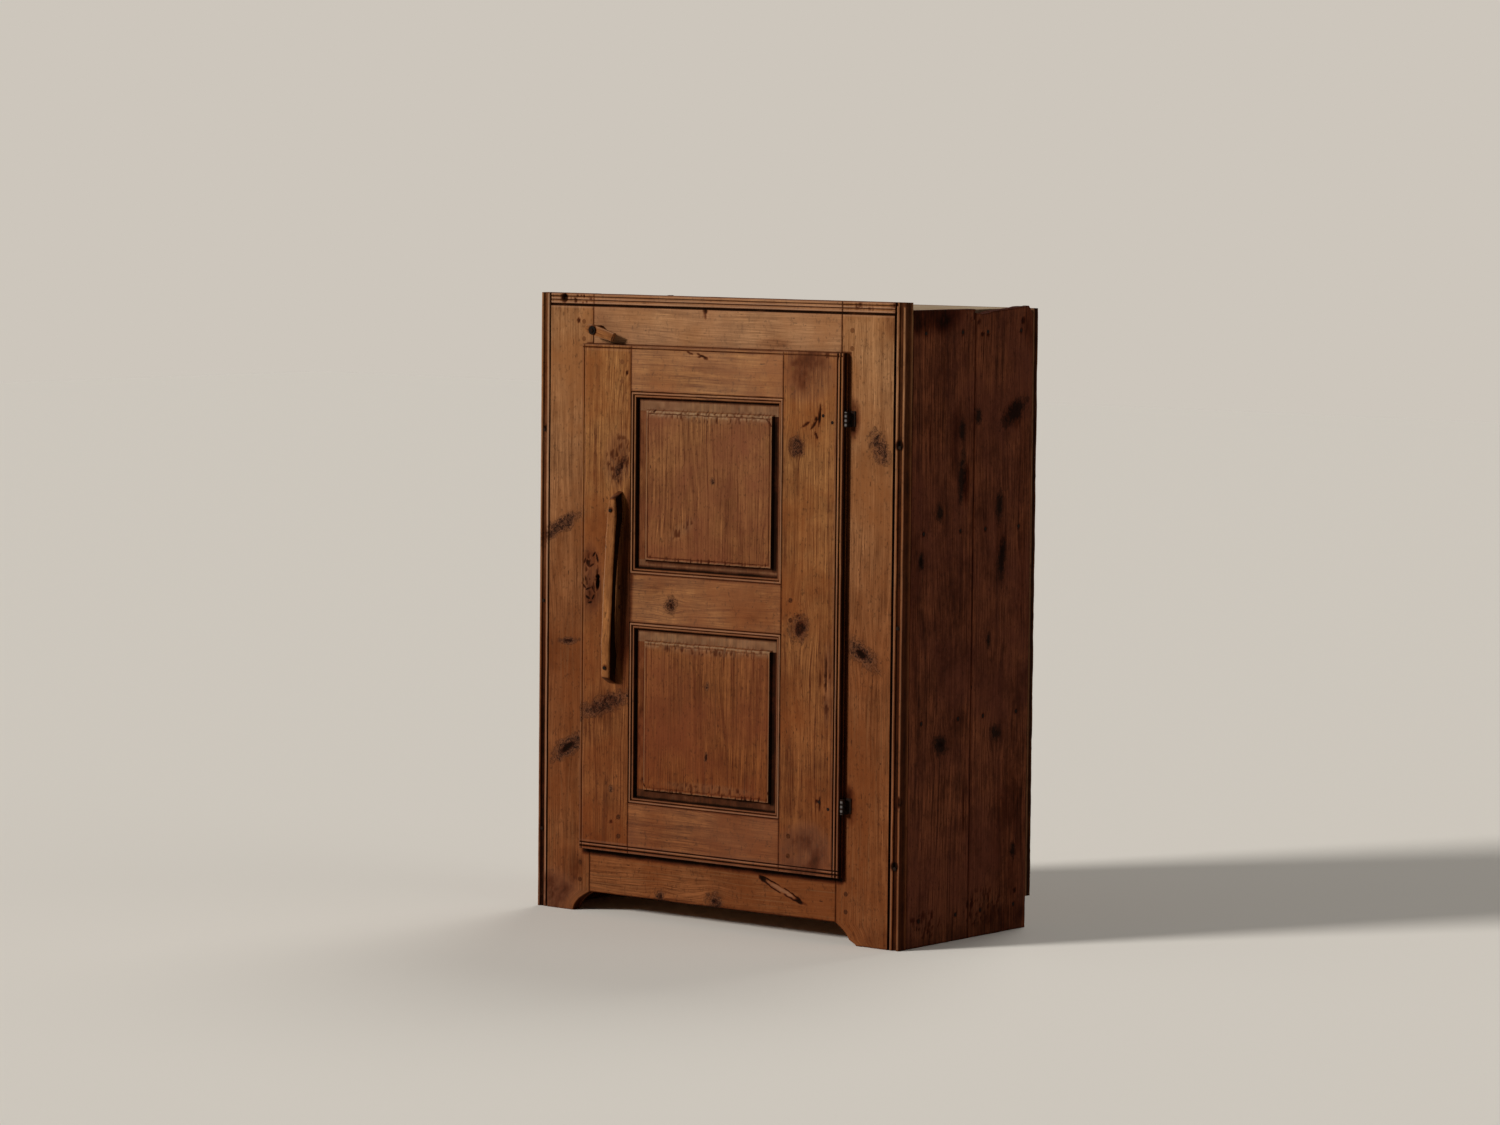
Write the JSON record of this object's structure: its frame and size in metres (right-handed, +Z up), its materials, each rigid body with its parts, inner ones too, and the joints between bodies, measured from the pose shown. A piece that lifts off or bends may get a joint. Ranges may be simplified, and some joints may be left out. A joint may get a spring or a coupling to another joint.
{
  "type": "jelly cupboard",
  "caption": "Low cupboard of nailed pine boards with a moulded face frame, a lipped raised-panel door on iron pin hinges, a whittled pull handle, a turn button and shelves inside.",
  "frame": {"origin": "on the floor, under the middle of the cupboard's box", "axes": "+X to the right seen from the front, +Y to the back, +Z up; the door faces -Y"},
  "size_m": [0.66, 0.352, 0.9],
  "materials": {
    "pine_frame": "worn old varnish, satin",
    "pine_door": "worn old varnish, satin",
    "pine_panel": "worn old varnish, satin",
    "pine_side": "dry old varnish, matte",
    "pine_inside": "bare aged wood, matte",
    "pine_back": "bare rough-sawn wood, matte",
    "pegs": "end grain, matte",
    "pull_wood": "handled wood, satin",
    "iron": "blackened wrought iron"
  },
  "bodies": {
    "carcass": {"frame_stile_left": "pine_frame", "frame_stile_right": "pine_frame", "frame_rail_top": "pine_frame", "frame_rail_bottom": "pine_frame", "side_board_left_front": "pine_side", "side_board_left_rear": "pine_side", "side_board_right_front": "pine_side", "side_board_right_rear": "pine_side", "top_board_front": "pine_side", "top_board_rear": "pine_side", "bottom_board_front": "pine_inside", "bottom_board_rear": "pine_inside", "shelf_lower": "pine_inside", "shelf_upper": "pine_inside", "cleat_bottom_left": "pine_inside", "cleat_bottom_right": "pine_inside", "cleat_lower_shelf_left": "pine_inside", "cleat_lower_shelf_right": "pine_inside", "cleat_upper_shelf_left": "pine_inside", "cleat_upper_shelf_right": "pine_inside", "cleat_top_left": "pine_inside", "cleat_top_right": "pine_inside", "back_board_1": "pine_back", "back_board_2": "pine_back", "back_board_3": "pine_back", "back_board_4": "pine_back", "frame_pegs": "pegs", "frame_nails": "iron", "side_nails_left": "iron", "side_nails_right": "iron", "back_nails": "iron", "hinge_frame_leaf_upper": "iron", "hinge_frame_leaf_lower": "iron", "hinge_pin_upper": "iron", "hinge_pin_lower": "iron", "hinge_frame_nails": "iron", "turn_button_washer": "iron", "turn_button_nail": "iron"},
    "door": {"door_stile_left": "pine_door", "door_stile_right": "pine_door", "door_rail_top": "pine_door", "door_rail_middle": "pine_door", "door_rail_bottom": "pine_door", "door_panel_upper": "pine_panel", "door_panel_lower": "pine_panel", "door_pegs": "pegs", "pull_handle": "pull_wood", "handle_nails": "iron", "hinge_door_leaf_upper": "iron", "hinge_door_leaf_lower": "iron", "hinge_door_nails": "iron"},
    "button": {"turn_button": "pull_wood"}
  },
  "joints": [
    {"name": "door_hinge", "type": "hinge", "parent": "carcass", "child": "door", "pos_m": [0.2365, -0.15, 0.461], "axis": [0, 0, 1], "range_deg": [0, 170]},
    {"name": "button_turn", "type": "hinge", "parent": "carcass", "child": "button", "pos_m": [-0.215, -0.155, 0.848], "axis": [0, 1, 0], "range_deg": [-105, 62]}
  ]
}
